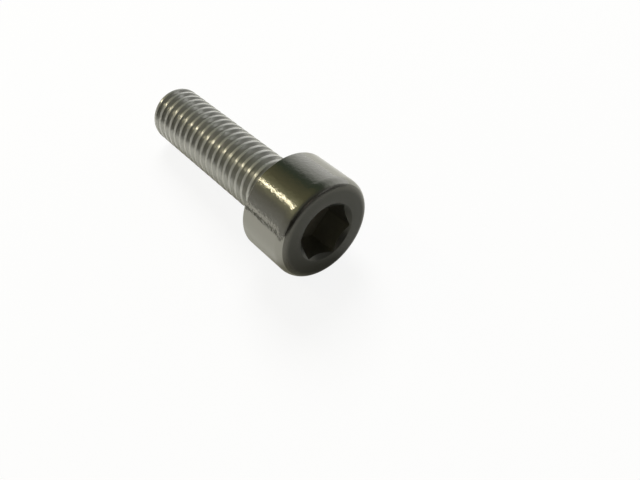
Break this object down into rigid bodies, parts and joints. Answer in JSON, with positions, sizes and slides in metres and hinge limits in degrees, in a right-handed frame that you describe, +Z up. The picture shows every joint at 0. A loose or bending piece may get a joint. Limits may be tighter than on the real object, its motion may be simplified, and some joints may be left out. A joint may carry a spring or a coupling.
{
  "type": "hexagon socket head cap screw",
  "caption": "Socket head cap screw with a polished cylindrical head, a hexagon socket for a key and a fully threaded shank with a bevelled tip.",
  "frame": {"origin": "centre of the bounding box at the surface that the screw lies on", "axes": "+Z up, the screw lies along X with its head towards +X and its tip towards -X, sloping down to the tip"},
  "size_m": [0.0264, 0.01, 0.0105],
  "materials": {
    "stainless_steel": "polished head, satin face and rolled thread"
  },
  "bodies": {
    "root": {"cap_screw": "stainless_steel"}
  },
  "joints": []
}
